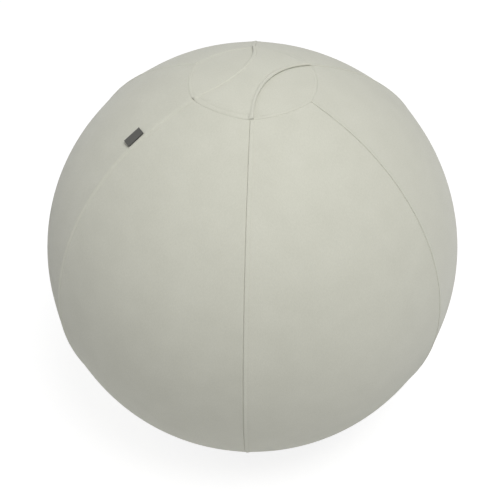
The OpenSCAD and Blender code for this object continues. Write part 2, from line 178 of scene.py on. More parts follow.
back = Vector((
    math.sin(CAMERA_TURN) * math.cos(CAMERA_RISE),
    -math.cos(CAMERA_TURN) * math.cos(CAMERA_RISE),
    math.sin(CAMERA_RISE),
))
camera = bpy.data.objects.new("camera", bpy.data.cameras.new("camera"))
bpy.context.scene.collection.objects.link(camera)
camera.data.lens = CAMERA_LENS
camera.data.shift_x, camera.data.shift_y = CAMERA_SHIFT
camera.location = Vector(CENTRE) + back * CAMERA_AWAY
camera.rotation_euler = (-back).to_track_quat("-Z", "Y").to_euler()
camera.rotation_euler.rotate_axis("Z", CAMERA_ROLL)
bpy.context.scene.camera = camera
print("camera at", [round(v, 3) for v in camera.location])

# %% [markdown]
# ## Nodes written as sums
# Materials and Geometry Nodes share most of their maths nodes. A small class wraps an output of a node
# and gives it Python's own signs, so a pattern reads as a formula. Every other kind of node comes from
# one method, which takes the node's type, its settings, and what goes into its sockets.


# %% A socket that Python's signs work on
class Signal:
    """One output of a node."""

    def __init__(self, tree, socket):
        self.tree = tree
        self.socket = socket

    def __add__(self, other):
        return maths("ADD", self, other)

    def __radd__(self, other):
        return maths("ADD", other, self)

    def __sub__(self, other):
        return maths("SUBTRACT", self, other)

    def __rsub__(self, other):
        return maths("SUBTRACT", other, self)

    def __mul__(self, other):
        return maths("MULTIPLY", self, other)

    def __rmul__(self, other):
        return maths("MULTIPLY", other, self)

    def __truediv__(self, other):
        return maths("DIVIDE", self, other)

    def __rtruediv__(self, other):
        return maths("DIVIDE", other, self)

    def __pow__(self, other):
        return maths("POWER", self, other)


def maths(operation, *values):
    """A Math node on numbers and signals."""
    tree = next(value.tree for value in values if isinstance(value, Signal))
    return tree.node("ShaderNodeMath", {"operation": operation}, dict(enumerate(values)))[0]


def clamped(value):
    return maths("MINIMUM", maths("MAXIMUM", value, 0), 1)


def smooth_step(value):
    """Runs from 0 to 1 with a soft start and end."""
    part = clamped(value)
    return part * part * (3 - 2 * part)


# %% A node and a tree of nodes
class Made:
    """A node that gives its outputs by name or number."""

    def __init__(self, tree, node):
        self.tree = tree
        self.made = node

    def __getitem__(self, key):
        return Signal(self.tree, socket_of(self.made.outputs, key))


def socket_of(sockets, key):
    """The live socket with a name, or the one with a number."""
    if isinstance(key, int):
        return sockets[key]
    return next(socket for socket in sockets if socket.name == key and socket.enabled)


class Tree:
    """A node tree whose nodes all come from one method."""

    def __init__(self, data):
        self.data = data

    def node(self, kind, settings=None, inputs=None):
        made = self.data.nodes.new(kind)
        for name, value in (settings or {}).items():
            setattr(made, name, value)
        for key, value in (inputs or {}).items():
            self.feed(socket_of(made.inputs, key), value)
        return Made(self, made)

    def feed(self, socket, value):
        """Links a signal, or several, or sets the socket's own value."""
        for item in value if isinstance(value, list) else [value]:
            if isinstance(item, Signal):
                self.data.links.new(item.socket, socket)
            else:
                socket.default_value = item


# %% [markdown]
# ## Finishes
# Each finish starts from the same frame: a Principled shader, a pattern for its colour and a Bump node.
# Cloth reads its own coordinates, kept on the mesh as the attribute named cloth, in metres across and
# along the piece, so that the yarns bend with it. Hard pieces read Object coordinates.


# %% A finish's frame
class Finish(Tree):
    """A material with one Principled shader."""

    def __init__(self, name, **constants):
        self.material = bpy.data.materials.new(name)
        self.material.use_nodes = True
        super().__init__(self.material.node_tree)
        self.data.nodes.clear()
        self.shader = self.node("ShaderNodeBsdfPrincipled").made
        output = self.data.nodes.new("ShaderNodeOutputMaterial")
        self.data.links.new(self.shader.outputs[0], output.inputs["Surface"])
        for name, value in constants.items():
            self.shader.inputs[name.replace("_", " ")].default_value = value

    def split(self, vector):
        parts = self.node("ShaderNodeSeparateXYZ", inputs={0: vector})
        return parts[0], parts[1], parts[2]

    def cloth_place(self):
        """Millimetres across and along the cloth."""
        place = self.node("ShaderNodeAttribute", {"attribute_name": "cloth"})["Vector"]
        across, along, away = self.split(place)
        return across / MM, along / MM, away / MM

    def object_place(self):
        place = self.node("ShaderNodeTexCoord")["Object"]
        return [part / MM for part in self.split(place)]

    def point(self, x, y, z):
        return self.node("ShaderNodeCombineXYZ", inputs={0: x, 1: y, 2: z})[0]

    def grain(self, point, detail=2.0):
        """Noise from 0 to 1."""
        return self.node("ShaderNodeTexNoise", inputs={"Vector": point, "Scale": 1.0, "Detail": detail})[0]

    def blend(self, amount, first, second):
        """A colour between two colours."""
        return self.node("ShaderNodeMix", {"data_type": "RGBA"}, {
            "Factor": amount, "A": first, "B": second})["Result"]

    def colour(self, value):
        self.feed(self.shader.inputs["Base Color"], value)

    def rough(self, value):
        self.feed(self.shader.inputs["Roughness"], value)

    def relief(self, height, distance):
        bump = self.node("ShaderNodeBump", inputs={"Height": height, "Distance": distance, "Strength": 1.0})
        self.feed(self.shader.inputs["Normal"], bump["Normal"])


def tone(red, green, blue):
    """A colour as it looks on a screen, in 255 steps, as the linear colour that a shader needs."""
    parts = [value / 255 for value in (red, green, blue)]
    return tuple(v / 12.92 if v <= 0.04045 else ((v + 0.055) / 1.055) ** 2.4 for v in parts) + (1.0,)


# %% [markdown]
# Cover, lining and base are woven or knitted from yarn. The weave's height is a product of two waves,
# which gives small pillows at the pitch of the yarn. The cover's yarn is spun from pale and darker
# fibres, so noise that is stretched along the yarn mixes two close colours.


# %% Cloth
FIBRE_SHARE = 0.5
PATCH = 45


def cloth(name, pale, dark, pitch, height):
    """Woven cloth from two tones of fibre. Pitch and height are in millimetres."""
    made = Finish(name, Sheen_Weight=0.3, Sheen_Roughness=0.6, Specular_IOR_Level=0.2)
    across, along, away = made.cloth_place()
    fibre = made.grain(made.point(across / (1.6 * pitch), along / (4 * pitch), away), 3.0)
    patch = made.grain(made.point(across / PATCH, along / PATCH, away / PATCH))
    amount = clamped((fibre - 0.5) * 1.6 + 0.5)
    made.colour(made.blend(amount * FIBRE_SHARE + patch * (1 - FIBRE_SHARE), pale, dark))
    made.rough(0.86 + 0.1 * fibre)
    pillow = maths("ABSOLUTE", maths("SINE", across * (math.pi / pitch)) * maths(
        "SINE", along * (math.pi / pitch)))
    made.relief(pillow * 0.7 + fibre * 0.6, height * MM)
    return made.material


cover_cloth = cloth("cover_cloth", tone(214, 214, 201), tone(196, 196, 182), 0.8, 0.10)
lining_cloth = cloth("lining_cloth", tone(200, 200, 187), tone(184, 184, 170), 0.7, 0.08)
base_cloth = cloth("base_cloth", tone(96, 96, 94), tone(74, 74, 73), 1.1, 0.16)
print("cloths:", cover_cloth.name, lining_cloth.name, base_cloth.name)


# %% Thread
def thread(name, colour, shade):
    """Sewing thread with a faint twist."""
    made = Finish(name, Sheen_Weight=0.1)
    x, y, z = made.object_place()
    twist = made.grain(made.point(x * 3, y * 3, z * 3), 1.0)
    made.colour(made.blend(twist, colour, shade))
    made.rough(0.62 + 0.2 * twist)
    made.relief(twist, 0.05 * MM)
    return made.material


cover_thread = thread("cover_thread", tone(212, 212, 199), tone(190, 190, 176))
base_thread = thread("base_thread", tone(70, 70, 68), tone(52, 52, 51))
print("threads:", cover_thread.name, base_thread.name)


# %% [markdown]
# The label and the zip's tapes are narrow woven goods with a clear structure. The label is a satin
# with fine ribs across it. A zip tape is a herringbone: its ribs lean one way, then the other, in
# columns a few millimetres wide, which a triangle wave on one coordinate gives.


# %% Label and tape
LABEL_RIB = 0.45
TAPE_RIB = 0.9
TAPE_COLUMN = 2.0


def woven_label(name):
    """Satin with fine ribs across it."""
    made = Finish(name, Sheen_Weight=0.25, Sheen_Roughness=0.4)
    across, along, away = made.cloth_place()
    rib = maths("SINE", along * (2 * math.pi / LABEL_RIB))
    fleck = made.grain(made.point(across * 1.5, along * 4, away))
    made.colour(made.blend(fleck, tone(92, 92, 88), tone(70, 70, 66)))
    made.rough(0.6 + 0.25 * fleck)
    made.relief(rib * 0.5 + fleck, 0.06 * MM)
    return made.material


def herringbone(name, pale, dark):
    """Ribs that lean one way, then the other."""
    made = Finish(name, Sheen_Weight=0.1)
    across, along, away = made.cloth_place()
    lean = maths("PINGPONG", across, TAPE_COLUMN)
    rib = maths("SINE", (along + lean * 0.9) * (2 * math.pi / TAPE_RIB))
    fleck = made.grain(made.point(across * 2, along * 2, away))
    made.colour(made.blend(clamped(rib * 0.35 + fleck), pale, dark))
    made.rough(0.78 + 0.15 * fleck)
    made.relief(rib * 0.6 + fleck * 0.5, 0.12 * MM)
    return made.material


label_weave = woven_label("label_weave")
tape_weave = herringbone("tape_weave", tone(186, 187, 173), tone(160, 161, 148))
print("narrow weaves:", label_weave.name, tape_weave.name)


# %% [markdown]
# Rubber, moulded plastic, vinyl and metal are smooth at this scale, so noise gives them only the small
# unevenness that keeps light from looking painted on: a matt skin on rubber, flow marks on plastic,
# brushed lines and small stains on metal.


# %% Hard and rubbery finishes
def moulded(name, colour, shade, rough, grain_mm, height_mm, **constants):
    """A solid finish with a fine skin."""
    made = Finish(name, **constants)
    x, y, z = made.object_place()
    skin = made.grain(made.point(x / grain_mm, y / grain_mm, z / grain_mm), 3.0)
    cloud = made.grain(made.point(x / 30, y / 30, z / 30))
    made.colour(made.blend(skin * 0.4 + cloud * 0.6, colour, shade))
    made.rough(rough + 0.14 * (cloud - 0.5) + 0.08 * (skin - 0.5))
    made.relief(skin, height_mm * MM)
    return made.material


def metal(name, colour, shade, rough):
    """Metal with brushed lines and small stains."""
    made = Finish(name, Metallic=1.0)
    x, y, z = made.object_place()
    lines = made.grain(made.point(x * 0.4, y * 6, z * 6))
    stain = made.grain(made.point(x / 9, y / 9, z / 9), 3.0)
    made.colour(made.blend(stain * 0.7 + lines * 0.3, colour, shade))
    made.rough(rough + 0.12 * (lines - 0.5) + 0.15 * (stain - 0.5))
    made.relief(lines, 0.01 * MM)
    return made.material


rubber = moulded("grip_rubber", tone(58, 58, 57), tone(44, 44, 43), 0.72, 0.5, 0.04)
vinyl = moulded("inner_vinyl", tone(186, 190, 193), tone(168, 172, 176), 0.42, 1.2, 0.03, Coat_Weight=0.2)
plug_plastic = moulded("plug_plastic", tone(228, 228, 224), tone(210, 210, 206), 0.45, 0.8, 0.02)
zip_plastic = moulded("zip_plastic", tone(176, 177, 164), tone(158, 159, 146), 0.42, 0.6, 0.02)
plate_steel = metal("plate_steel", tone(176, 178, 180), tone(148, 149, 150), 0.38)
slider_metal = metal("slider_metal", tone(150, 150, 148), tone(118, 118, 116), 0.34)
print("finishes:", len(bpy.data.materials))


# %% [markdown]
# ## Gores
# The gores are the main form and follow a rule, so one Geometry Nodes tree makes them all. It starts
# from a flat grid. The columns near each edge are close together: the first is the cut edge, the next
# few turn the fold, and then narrow steps carry the raised band where the seam's edges are sewn down.
# A second copy of the grid is the inside of the cloth, and both meet at the cut edge, where they merge.

# %% Sizes of the sewn edges
FOLD_STEPS = 5
EDGE_STEPS = FOLD_STEPS + 1
FOLD_R = 1.1 * MM
RIM_FOLD_R = 0.5 * MM
BAND_STEPS = 16
BAND_STEP = 0.8 * MM
SEAM_GAP = 0.05 * MM
STITCH_IN = 6 * MM
STITCH_DENT = 1.1 * MM
DENT_DEPTH = 0.15 * MM
BAND_RISE = 0.8 * MM
BAND_TOP = 1.2 * MM
BAND_FALL = 7 * MM
PUCKER = 0.22 * MM
PUCKER_SIZE = 13 * MM
PUCKER_SPAN = 9 * MM
BOW_SPAN = 90 * MM
GORE_COLUMNS = 2 * (FOLD_STEPS + BAND_STEPS + 14) + 3
GORE_ROWS = 272
print("a gore's grid:", GORE_COLUMNS, "by", GORE_ROWS)


# %% Steps across a folded edge, as nodes
def fold_turn(count):
    """Angle of the fold, from a count of columns or rows in from the edge."""
    return clamped((count - 1) / FOLD_STEPS) * (math.pi / 2)


def fold_drop(count, radius=FOLD_R):
    """Depth below the cloth's face: the whole cloth at the cut edge, then the round of the fold."""
    cut = (CLOTH_T - radius) * (1 - maths("MINIMUM", count, 1))
    return radius * (1 - maths("SINE", fold_turn(count))) + cut


def fold_away(count, radius=FOLD_R):
    """Distance in from the edge while the fold turns."""
    return radius * (1 - maths("COSINE", fold_turn(count)))


# %% [markdown]
# The tree below reads the grid's own flat place as counts of columns and rows, works out an angle
# across the gore and a latitude, and lifts each point to the cover's face. Named inputs hold where the
# gore stands round the ball and which of its two edges lies over the neighbour's and is topstitched.


# %% The gores' tree
def gore_tree():
    data = bpy.data.node_groups.new("gore", "GeometryNodeTree")
    tree = Tree(data)
    face = data.interface
    face.new_socket("Geometry", in_out="OUTPUT", socket_type="NodeSocketGeometry")
    for name in ("Turn", "Upper edge", "Band rise", "Pucker"):
        face.new_socket(name, in_out="INPUT", socket_type="NodeSocketFloat")
    face.new_socket("Cloth", in_out="INPUT", socket_type="NodeSocketMaterial")
    given = tree.node("NodeGroupInput")
    grid = tree.node("GeometryNodeMeshGrid", inputs={
        "Size X": 1.0, "Size Y": 1.0, "Vertices X": GORE_COLUMNS, "Vertices Y": GORE_ROWS})["Mesh"]
    outside = kept(tree, grid, "inside", "FLOAT", 0.0)
    inside = kept(tree, grid, "inside", "FLOAT", 1.0)
    both = tree.node("GeometryNodeJoinGeometry", inputs={0: [outside, inside]})[0]
    inner = tree.node("GeometryNodeInputNamedAttribute", {"data_type": "FLOAT"}, {"Name": "inside"})[
        "Attribute"]

    flat = tree.node("ShaderNodeSeparateXYZ", inputs={0: tree.node("GeometryNodeInputPosition")[0]})
    column = maths("ROUND", (0.5 - maths("ABSOLUTE", flat[0])) * (GORE_COLUMNS - 1))
    from_top = maths("ROUND", (0.5 - flat[1]) * (GORE_ROWS - 1))
    from_end = (GORE_ROWS - 1) - from_top

    between = clamped((from_top - EDGE_STEPS) / (GORE_ROWS - 1 - 2 * EDGE_STEPS))
    down = (fold_away(from_top, RIM_FOLD_R) + between * (GORE_LENGTH - RIM_FOLD_R - FOLD_R) + FOLD_R
            - fold_away(from_end))
    straight = (math.pi / 2 - CROWN_POLAR) - down / FACE_R

    half_width = HALF_GORE * FACE_R * maths("COSINE", straight) - SEAM_GAP
    in_band = maths("MINIMUM", maths("MAXIMUM", column - EDGE_STEPS, 0), BAND_STEPS) * BAND_STEP
    rest = (GORE_COLUMNS - 1) / 2 - EDGE_STEPS - BAND_STEPS
    share = clamped((column - EDGE_STEPS - BAND_STEPS) / rest)
    from_seam = fold_away(column) + in_band + share * (half_width - FOLD_R - BAND_STEPS * BAND_STEP)
    across = half_width - from_seam
    side = maths("SIGN", flat[0])
    angle = side * across / (FACE_R * maths("COSINE", straight))

    lean = math.sin(SIDE_LEAN) * maths("COSINE", angle)
    reach = maths("SQRT", math.cos(SIDE_LEAN)**2 + lean * lean)
    rim = maths("ARCCOSINE", math.cos(SIDE_POLAR + SIDE_LEAN) / reach) - maths(
        "ARCTAN2", lean, math.cos(SIDE_LEAN))
    latitude = straight + (CROWN_POLAR - rim) * (1 - smooth_step(down / BOW_SPAN))
    level = maths("COSINE", latitude)

    beside = level * math.sin(HALF_GORE)
    rise = maths("SQRT", 1 - beside * beside) * GORE_SHIFT + maths(
        "SQRT", GORE_ARC**2 - beside * beside * GORE_SHIFT**2) - FACE_R
    rise = rise * (1 - LOW_EASE * smooth_step(-1 * latitude / LOW_SPAN))
    reach_in = maths("SQRT", rise * (2 * FACE_R)) * RIDGE_REACH
    ridge = rise * (1 - clamped(from_seam / reach_in)) ** 2
    ring = RING_RISE * (1 - clamped(down / RING_SPAN)) ** 2
    turned = given["Turn"] + angle
    way = tree.node("ShaderNodeCombineXYZ", inputs={
        0: level * maths("COSINE", turned), 1: level * maths("SINE", turned),
        2: maths("SINE", latitude)})[0]
    beside_shoulder = tree.node("ShaderNodeVectorMath", {"operation": "DOT_PRODUCT"}, {
        0: way, 1: tuple(SHOULDER_WAY)})["Value"]
    shoulder = SHOULDER_RISE * maths("EXPONENT", (beside_shoulder - 1) * SHOULDER_TIGHT)
    radius = ridge + ring + shoulder + FACE_R

    fall = 1 - smooth_step((from_seam - BAND_TOP) / BAND_FALL)
    groove = maths("EXPONENT", -1 * ((from_seam - STITCH_IN) / STITCH_DENT) ** 2)
    over = clamped(side * given["Upper edge"])
    band = over * (given["Band rise"] * fall - DENT_DEPTH * groove)
    ripple = tree.node("ShaderNodeTexNoise", inputs={"Vector": way, "Scale": FACE_R / PUCKER_SIZE,
                                                     "Detail": 1.0})[0]
    near = maths("EXPONENT", -1 * from_seam / PUCKER_SPAN)
    pucker = (ripple - 0.5) * 2 * given["Pucker"] * near
    end_drop = fold_drop(from_top, RIM_FOLD_R) + fold_drop(from_end)
    drop = maths("MINIMUM", fold_drop(column) + end_drop, CLOTH_T)
    at_inside = radius - CLOTH_T
    at_face = at_inside + (CLOTH_T + band + pucker) * (1 - drop / CLOTH_T)
    chosen = at_face + (at_inside - at_face) * inner
    lifted = tree.node("ShaderNodeVectorMath", {"operation": "SCALE"}, {"Vector": way, "Scale": chosen})
    placed = tree.node("ShaderNodeVectorMath", {"operation": "ADD"}, {
        0: lifted["Vector"], 1: tuple(CENTRE)})["Vector"]

    on_cloth = tree.node("ShaderNodeCombineXYZ", inputs={0: side * across, 1: down, 2: given["Turn"]})[0]
    marked = kept(tree, both, "cloth", "FLOAT_VECTOR", on_cloth)
    shaped = tree.node("GeometryNodeSetPosition", inputs={"Geometry": marked, "Position": placed})[0]
    merged = tree.node("GeometryNodeMergeByDistance", inputs={"Geometry": shaped, "Distance": 0.01 * MM})[0]
    turned_in = tree.node("GeometryNodeFlipFaces", inputs={
        "Mesh": merged, "Selection": maths("GREATER_THAN", inner, 0.5)})[0]
    real = tree.node("GeometryNodeRealizeInstances", inputs={"Geometry": turned_in})[0]
    done = tree.node("GeometryNodeSetMaterial", inputs={"Geometry": real, "Material": given["Cloth"]})[0]
    tree.node("NodeGroupOutput", inputs={"Geometry": done})
    return data


def kept(tree, geometry, name, kind, value):
    """The geometry with a named attribute on its points."""
    return tree.node("GeometryNodeStoreNamedAttribute", {"data_type": kind, "domain": "POINT"}, {
        "Geometry": geometry, "Name": name, "Value": value})["Geometry"]


# %% Plain meshes from trees
def plain_mesh(name, source, group, settings):
    """Runs a tree on an object, once, and returns its result as an object with a plain mesh."""
    carrier = bpy.data.objects.new("carrier", source)
    bpy.context.scene.collection.objects.link(carrier)
    modifier = carrier.modifiers.new("nodes", "NODES")
    modifier.node_group = group
    for item in group.interface.items_tree:
        if item.in_out == "INPUT" and item.name in settings:
            modifier[item.identifier] = settings[item.name]
    result = carrier.evaluated_get(bpy.context.evaluated_depsgraph_get())
    mesh = bpy.data.meshes.new_from_object(result)
    mesh.name = name
    bpy.data.objects.remove(carrier)
    return as_piece(name, mesh)


def as_piece(name, mesh, sharp=50):
    """A smooth object from a mesh, with its true corners kept sharp."""
    mesh.shade_smooth()
    mesh.set_sharp_from_angle(angle=math.radians(sharp))
    piece = bpy.data.objects.new(name, mesh)
    bpy.context.scene.collection.objects.link(piece)
    return piece


# %% Make the gores
gores = []
group = gore_tree()
for number in range(GORES):
    gore = plain_mesh(f"cover_gore_{number + 1}", bpy.data.meshes.new("start"), group, {
        "Turn": gore_turn(number), "Upper edge": -1.0,
        "Band rise": BAND_RISE, "Pucker": PUCKER, "Cloth": cover_cloth})
    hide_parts(f"gore_panel_{number + 1}")
    gores.append(gore)
print("a gore's faces:", len(gores[0].data.polygons))

# %% [markdown]
# ## Closed cloth from two grids
# The other cloth pieces are made from numbers alone. Each has a grid of points for its face and one for
# its back, and the two are joined round their borders. Where a border is a fold, the face drops to the
# back over the fold's round, and the doubled points are merged, so every piece is one closed skin.


# %% Distances and drops across a fold
STRIP_FOLD_R = 0.3 * MM


def fold(wall=CLOTH_T, radius=FOLD_R):
    """Distances in from an edge, and how far the face lies below its level there."""
    turn = np.linspace(0, math.pi / 2, FOLD_STEPS + 1)
    away = np.concatenate([[0], radius * (1 - np.cos(turn))])
    drop = np.concatenate([[wall], radius * (1 - np.sin(turn))])
    return away, drop


def wave(distance, place, width):
    """A narrow dip, 1 deep at its place."""
    return np.exp(-(((distance - place) / width) ** 2))


def ripple(points, size):
    """Smooth noise from -1 to 1 at an array of points."""
    values = [noise.noise(Vector(point)) for point in points.reshape(-1, 3) / size]
    return np.array(values).reshape(points.shape[:-1])


def strip_across(width, wall, steps):
    """Places across a narrow strip from edge to edge, and how far its face lies below its level there."""
    away, drop = fold(wall, STRIP_FOLD_R)
    middle = np.linspace(away[-1], width - away[-1], steps + 2)[1:-1]
    return (np.concatenate([away, middle, width - away[::-1]]),
            np.concatenate([drop, np.zeros(steps), drop[::-1]]))


# %% Grids to a closed mesh
def shell(name, face, behind, place, finish, ring=False):
    """A closed piece between two grids of points. A ring's columns meet round the back."""
    rows, columns = face.shape[:2]
    number = np.arange(rows * columns).reshape(rows, columns)
    here = number if ring else number[:, :-1]
    ahead = np.roll(number, -1, 1) if ring else number[:, 1:]
    skip = rows * columns
    quads = [np.stack([here[:-1], ahead[:-1], ahead[1:], here[1:]], -1).reshape(-1, 4)]
    quads.append(quads[0][:, ::-1] + skip)
    for line, onward in ((here[0], ahead[0]), (ahead[-1], here[-1])):
        quads.append(np.stack([onward, line, line + skip, onward + skip], -1))
    if not ring:
        for line in (number[::-1, 0], number[:, -1]):
            quads.append(np.stack([line[1:], line[:-1], line[:-1] + skip, line[1:] + skip], -1))
    mesh = bpy.data.meshes.new(name)
    points = np.concatenate([face.reshape(-1, 3), behind.reshape(-1, 3)])
    mesh.from_pydata(points.tolist(), [], np.concatenate(quads).tolist())
    on_cloth = np.zeros((2 * skip, 3), np.float32)
    on_cloth[:, :2] = np.tile(place.reshape(-1, 2), (2, 1))
    mesh.attributes.new("cloth", "FLOAT_VECTOR", "POINT").data.foreach_set("vector", on_cloth.ravel())
    mesh.materials.append(finish)
    close(mesh)
    return as_piece(name, mesh)


def close(mesh):
    """Merges doubled points and turns the skin's faces outwards."""
    shape = bmesh.new()
    shape.from_mesh(mesh)
    bmesh.ops.remove_doubles(shape, verts=shape.verts, dist=0.005 * MM)
    loose = [vert for vert in shape.verts if not vert.link_faces]
    bmesh.ops.delete(shape, geom=loose, context="VERTS")
    if shape.calc_volume(signed=True) < 0:
        bmesh.ops.reverse_faces(shape, faces=shape.faces)
    shape.to_mesh(mesh)
    shape.free()


# %% [markdown]
# ## Crown panel
# The round crown panel closes the top of the ball. Its rim is folded under like the gores' edges, and a
# row of stitches runs round it a few millimetres in. Rings of points that close up towards the rim give
# the fold its round and the stitches their groove.

# %% Crown panel
CROWN_COLUMNS = 360
CROWN_STITCH = 5 * MM
CROWN_BAND = 0.3 * MM
CROWN_BAND_TOP = 2 * MM
CROWN_BAND_FALL = 3 * MM
FINE_STEP = 0.7 * MM
FINE_ROWS = 16
CROWN_ROWS = 33


def crown_height(away):
    """How far the crown's face stands above its level, at a distance in from its rim."""
    fall = 1 - step_up((away - CROWN_STITCH) / CROWN_BAND_FALL)
    return CROWN_BAND * (step_up(away / CROWN_BAND_TOP) * fall - wave(away, CROWN_STITCH, STITCH_DENT))


def round_points(polar, turn, radius):
    """Points by their angle from the top, their turn and their distance from the ball's centre."""
    around = np.stack([np.sin(polar) * np.cos(turn), np.sin(polar) * np.sin(turn), np.cos(polar)], -1)
    return CENTRE + around * np.asarray(radius)[..., None]


def crown_panel():
    away, drop = fold(radius=RIM_FOLD_R)
    near = RIM_FOLD_R + np.arange(1, FINE_ROWS + 1) * FINE_STEP
    rest = np.linspace(0, 1, CROWN_ROWS + 1)[1:]
    away = np.concatenate([away, near])
    drop = np.concatenate([drop, np.zeros(len(near) + len(rest))])[:, None]
    turn = np.arange(CROWN_COLUMNS) * 2 * math.pi / CROWN_COLUMNS
    rim = rim_polar(gore_angle(turn)) - SEAM_GAP / FACE_R
    fixed = rim - away[:, None] / FACE_R
    polar = np.concatenate([fixed, fixed[-1] * (1 - rest[:, None])])
    turn = np.broadcast_to(turn, polar.shape)
    level = round_points(polar, turn, np.full(polar.shape, FACE_R))
    inward = (rim - polar) * FACE_R
    pucker = PUCKER * ripple(level, PUCKER_SIZE) * np.exp(-inward / PUCKER_SPAN) * (drop == 0)
    inside = FACE_R - CLOTH_T + ring_rise(inward)
    lift = np.maximum(CLOTH_T - drop + pucker + crown_height(inward), 0)
    face = round_points(polar, turn, inside + lift)
    behind = round_points(polar, turn, inside)
    return shell("cover_crown", face, behind, level[..., :2], cover_cloth, ring=True)


crown = crown_panel()
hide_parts("crown_panel")
print("crown faces:", len(crown.data.polygons))

# %% [markdown]
# ## Handle
# A waisted strap of two cloth layers crosses the crown and is sewn down at both round ends, where it
# meets the crown's ring. When the ball is lifted, the middle rises and the ends stay. Each layer is made
# in two halves that meet at the waist.
# Columns follow the hollow edges, rows follow the round end, and both are dense where the edge is folded.
# The ends are pressed thin where they are sewn, and the front one's free hem curls up a little.

# %% Sizes of the handle
STRAP_T = 1.2 * MM
LAYER_GAP = 0.1 * MM
STRAP_INSET = 0.3 * MM
THIN_END = 0.12
THIN_SPAN = 14 * MM
THICK_HEM = 5 * MM
CURL = 1.1 * MM
CURL_BEHIND = 0.1 * MM
CURL_W = 12 * MM
SEWN_DIP = 0.3 * MM
DIP_SPAN = 2 * MM
HEM_RISE = 0.9 * MM
HEM_TOP = 2.2 * MM
HEM_W = 6.2 * MM
HEM_DENT = 0.25 * MM
HEM_DENT_W = 1.2 * MM
UNEVEN = 0.25 * MM
UNEVEN_SIZE = 17 * MM
EDGE_TURN = math.radians(58)
FREE_SIDE = 27.3 * MM
FAR_SIDE = 20.7 * MM
HANDLE_SLACK = 0.6 * MM
HANDLE_STITCH = 6 * MM
FINE_SPAN = 10.5 * MM
MIDDLE_COLUMNS = 17
MIDDLE_ROWS = 30
FAR_AWAY = 1.0
STRAP_EDGE = (FACE_R + LAY_GAP) * np.array([math.sin(CROWN_POLAR), math.cos(CROWN_POLAR)])
STRAP_RISE = FACE_R + HANDLE_SLACK - STRAP_EDGE[1]
STRAP_DOME = (STRAP_EDGE[0] ** 2 + STRAP_RISE**2) / (2 * STRAP_RISE)
DOME_Z = CENTRE_Z + FACE_R + HANDLE_SLACK - STRAP_DOME
HANDLE_TURN = math.radians(-29)
ACROSS = np.array([math.cos(HANDLE_TURN), math.sin(HANDLE_TURN)])
ALONG = np.array([-math.sin(HANDLE_TURN), math.cos(HANDLE_TURN)])
print("handle's dome %.4f" % STRAP_DOME)


def hollow_edge(along, waist):
    """Distance of a hollow edge from the handle's middle line, at a distance from its waist."""
    centre = (RIM_R**2 - waist**2) / (2 * (RIM_R * math.cos(EDGE_TURN) - waist))
    return centre - np.sqrt((centre - waist) ** 2 - along**2)


def across_handle(share, inset, along):
    """Place across the handle: share runs from -1 at the far edge to 1 at the free one."""
    free = hollow_edge(along, FREE_SIDE)
    far = -hollow_edge(along, FAR_SIDE)
    return (free + far) / 2 + share * (free - far) / 2 + inset


def end_room(across, along, side):
    """Distance from flat places on one half of the handle out to its sewn end. Side is -1 in front."""
    place = across[..., None] * ACROSS + side * along[..., None] * ALONG
    rim = FACE_R * np.sin(rim_polar(gore_angle(np.arctan2(place[..., 1], place[..., 0]))))
    return rim - STRAP_INSET - np.hypot(across, along)


def end_of(share, inset, side):
    """Distance from the waist at which a column meets the handle's sewn end."""
    low = np.full(share.shape, 0.5 * RIM_R)
    high = np.full(share.shape, RIM_R)
    for _ in range(40):
        middle = (low + high) / 2
        outside = end_room(across_handle(share, inset, middle), middle, side) < 0
        high = np.where(outside, middle, high)
        low = np.where(outside, low, middle)
    return low


# %% Grid of one half of the handle
def handle_lines():
    """Columns as a share of the width and an inset, rows as a share of a column's length, with the
    distance in from the edge that goes with each."""
    away, drop = fold(STRAP_T, STRAP_T)
    band = np.arange(STRAP_T + FINE_STEP, FINE_SPAN, FINE_STEP)
    near = np.concatenate([away, band])
    near_drop = np.concatenate([drop, np.zeros(len(band))])
    share = np.linspace(1, -1, MIDDLE_COLUMNS + 2)[1:-1]
    columns = np.concatenate([np.ones(len(near)), share, -np.ones(len(near))])
    inset = np.concatenate([-near, -share * near[-1], near[::-1]])
    beside = np.concatenate([near, np.full(len(share), FAR_AWAY), near[::-1]])
    column_drop = np.concatenate([near_drop, np.zeros(len(share)), near_drop[::-1]])
    part = np.linspace(1, 0, MIDDLE_ROWS + 1)[1:]
    length = np.concatenate([np.ones(len(near)), part])
    back_off = np.concatenate([-near, -part * near[-1]])
    row_drop = np.concatenate([near_drop, np.zeros(len(part))])
    from_end = np.concatenate([near, np.full(len(part), FAR_AWAY)])
    return columns, inset, beside, column_drop, length, back_off, from_end, row_drop


def on_dome(place, radius):
    """Points of the handle over flat places, on a dome of a radius that turns up to the crown's seam."""
    out = (place**2).sum(-1)
    height = DOME_Z + np.sqrt(radius**2 - out) + ring_rise(RIM_R - np.sqrt(out))
    return np.concatenate([place, height[..., None]], -1)


def hem_height(inward):
    """How far the hem's padded roll stands up, at a distance in from the handle's edge."""
    roll = step_up(inward / HEM_TOP) * (1 - step_up((inward - HEM_TOP) / (HEM_W - HEM_TOP)))
    return HEM_RISE * roll - HEM_DENT * wave(inward, HANDLE_STITCH, HEM_DENT_W)


def end_form(across, along, side):
    """Share of the handle's thickness that is left near its sewn end, and how far its free hem curls up."""
    room = end_room(across, along, side)
    from_free = hollow_edge(along, FREE_SIDE) - across
    from_hem = np.minimum(from_free, hollow_edge(along, FAR_SIDE) + across)
    thin = (1 - THIN_END) * (1 - step_up(room / THIN_SPAN)) * step_up((from_hem - THICK_HEM) / THICK_HEM)
    curl = (CURL if side < 0 else CURL_BEHIND) * (1 - step_up(from_free / CURL_W))
    curl = curl * step_up(room / THIN_SPAN) * (1 - step_up((room - THIN_SPAN) / (4 * THIN_SPAN)))
    return 1 - thin, curl - SEWN_DIP * (1 - step_up(room / DIP_SPAN))


